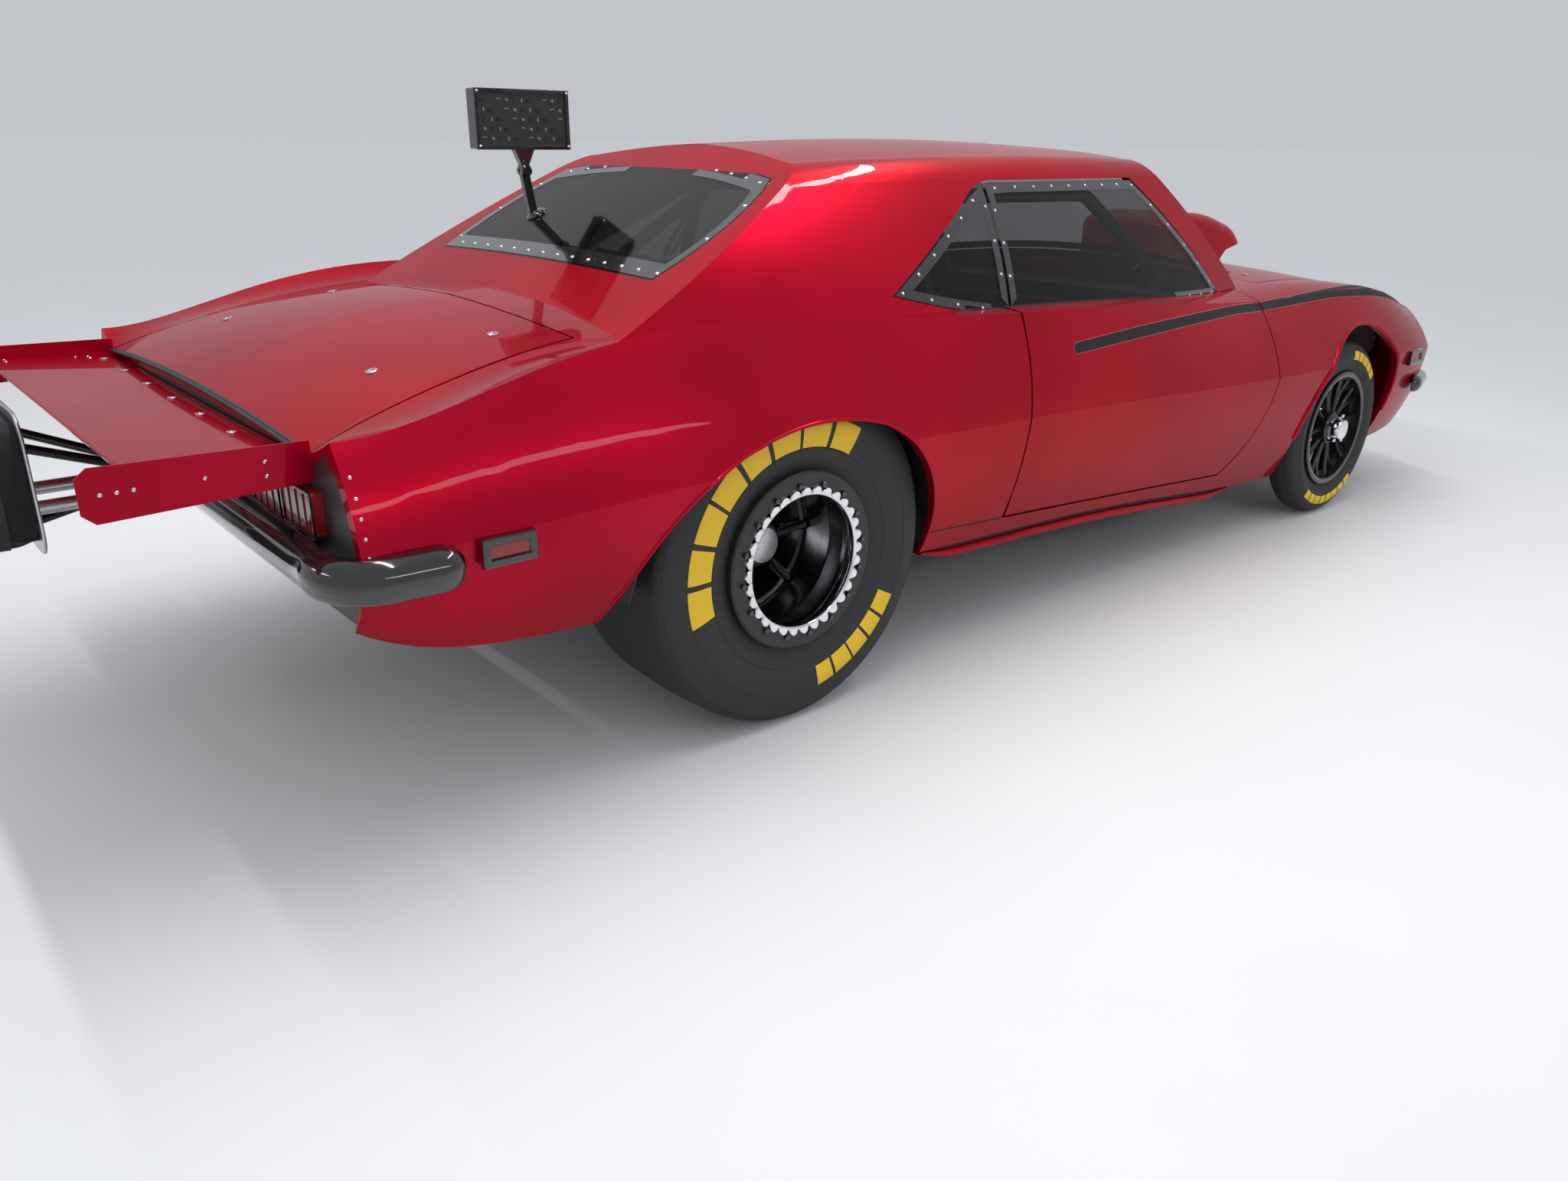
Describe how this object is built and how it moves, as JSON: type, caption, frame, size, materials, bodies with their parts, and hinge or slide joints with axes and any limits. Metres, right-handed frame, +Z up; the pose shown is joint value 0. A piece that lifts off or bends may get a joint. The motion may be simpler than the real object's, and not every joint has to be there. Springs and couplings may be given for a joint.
{
  "type": "drag racing car",
  "caption": "Door-slammer drag racing coupe, nose-down, with wide slicks, hood scoop, flat rear spoiler and parachute pack; doors, lids, steering and wheels move.",
  "frame": {"origin": "on the ground at the middle of the bounding box", "axes": "+X forward, +Y to the driver's left, +Z up"},
  "size_m": [5.2851, 1.8404, 1.458],
  "materials": {
    "body_paint": "deep candy red clear coat",
    "black_trim": "satin black",
    "black_gloss": "gloss black",
    "lamp_glass": "clear lamp glass",
    "red_lens": "red lens",
    "window_plastic": "clear plastic sheet, lightly tinted",
    "pack_fabric": "black woven nylon",
    "bare_metal": "bare alloy",
    "tyre_rubber": "black rubber",
    "rear_wheel_metal": "polished and black alloy",
    "front_wheel_metal": "black alloy",
    "frame_black": "black paint",
    "floor_metal": "black paint",
    "engine_metal": "dark grey paint",
    "seat_cloth": "black cloth",
    "wheel_rim": "black grip",
    "mirror_metal": "bright chrome"
  },
  "bodies": {
    "car": {"body_shell": "body_paint", "roof": "body_paint", "cowl": "body_paint", "fenders": "body_paint", "nose": "body_paint", "grille": "black_trim", "headlamps": "lamp_glass", "front_bumper": "black_gloss", "rear_bumper": "black_gloss", "tail_panel": "body_paint", "tail_lamps": "red_lens", "side_markers": "red_lens", "windscreen": "window_plastic", "rear_window": "window_plastic", "quarter_windows": "window_plastic", "spoiler": "body_paint", "parachute_pack": "pack_fabric", "parachute_mount": "bare_metal", "dial_board": "black_gloss", "front_suspension": "frame_black", "floor": "floor_metal", "chassis": "frame_black", "rear_axle": "frame_black", "engine": "engine_metal", "roll_cage": "frame_black", "seat": "seat_cloth", "dashboard": "black_trim", "inside_mirror": "mirror_metal"},
    "door_left": {"door_left": "body_paint", "door_window_left": "window_plastic"},
    "door_right": {"door_right": "body_paint", "door_window_right": "window_plastic"},
    "hood": {"hood": "body_paint"},
    "deck_lid": {"deck_lid": "body_paint"},
    "knuckle_left": {"knuckle_left": "bare_metal"},
    "knuckle_right": {"knuckle_right": "bare_metal"},
    "front_wheel_left": {"front_tyre_left": "tyre_rubber", "front_wheel_left": "front_wheel_metal"},
    "front_wheel_right": {"front_tyre_right": "tyre_rubber", "front_wheel_right": "front_wheel_metal"},
    "rear_wheel_left": {"rear_tyre_left": "tyre_rubber", "rear_wheel_left": "rear_wheel_metal"},
    "rear_wheel_right": {"rear_tyre_right": "tyre_rubber", "rear_wheel_right": "rear_wheel_metal"},
    "steering_wheel": {"steering_wheel": "wheel_rim"}
  },
  "joints": [
    {"name": "door_left_hinge", "type": "hinge", "parent": "car", "child": "door_left", "pos_m": [1.043, 0.916, 0.65], "axis": [0, 0, -1], "range_deg": [0, 65]},
    {"name": "door_right_hinge", "type": "hinge", "parent": "car", "child": "door_right", "pos_m": [1.043, -0.916, 0.65], "axis": [0, 0, 1], "range_deg": [0, 65]},
    {"name": "hood_lift", "type": "slide", "parent": "car", "child": "hood", "axis": [0, 0, 1], "range_m": [0, 0.35]},
    {"name": "deck_lid_lift", "type": "slide", "parent": "car", "child": "deck_lid", "axis": [0, 0, 1], "range_m": [0, 0.3]},
    {"name": "steer_left", "type": "hinge", "parent": "car", "child": "knuckle_left", "pos_m": [1.721, 0.688, 0.33], "axis": [0, 0, 1], "range_deg": [-28, 28]},
    {"name": "steer_right", "type": "hinge", "parent": "car", "child": "knuckle_right", "pos_m": [1.721, -0.688, 0.33], "axis": [0, 0, 1], "range_deg": [-28, 28]},
    {"name": "front_wheel_left_spin", "type": "hinge", "parent": "knuckle_left", "child": "front_wheel_left", "pos_m": [1.721, 0.806, 0.33], "axis": [0, 1, 0], "continuous": true},
    {"name": "front_wheel_right_spin", "type": "hinge", "parent": "knuckle_right", "child": "front_wheel_right", "pos_m": [1.721, -0.806, 0.33], "axis": [0, 1, 0], "continuous": true},
    {"name": "rear_wheel_left_spin", "type": "hinge", "parent": "car", "child": "rear_wheel_left", "pos_m": [-1.022, 0.64, 0.419], "axis": [0, 1, 0], "continuous": true},
    {"name": "rear_wheel_right_spin", "type": "hinge", "parent": "car", "child": "rear_wheel_right", "pos_m": [-1.022, -0.64, 0.419], "axis": [0, 1, 0], "continuous": true},
    {"name": "steering_wheel_turn", "type": "hinge", "parent": "car", "child": "steering_wheel", "pos_m": [0.618, 0.355, 0.815], "axis": [-0.9377, 0, 0.3474], "range_deg": [-260, 260]}
  ],
  "couplings": [
    {"joint": "steer_right", "follows": "steer_left", "ratio": 1},
    {"joint": "steering_wheel_turn", "follows": "steer_left", "ratio": 9}
  ]
}
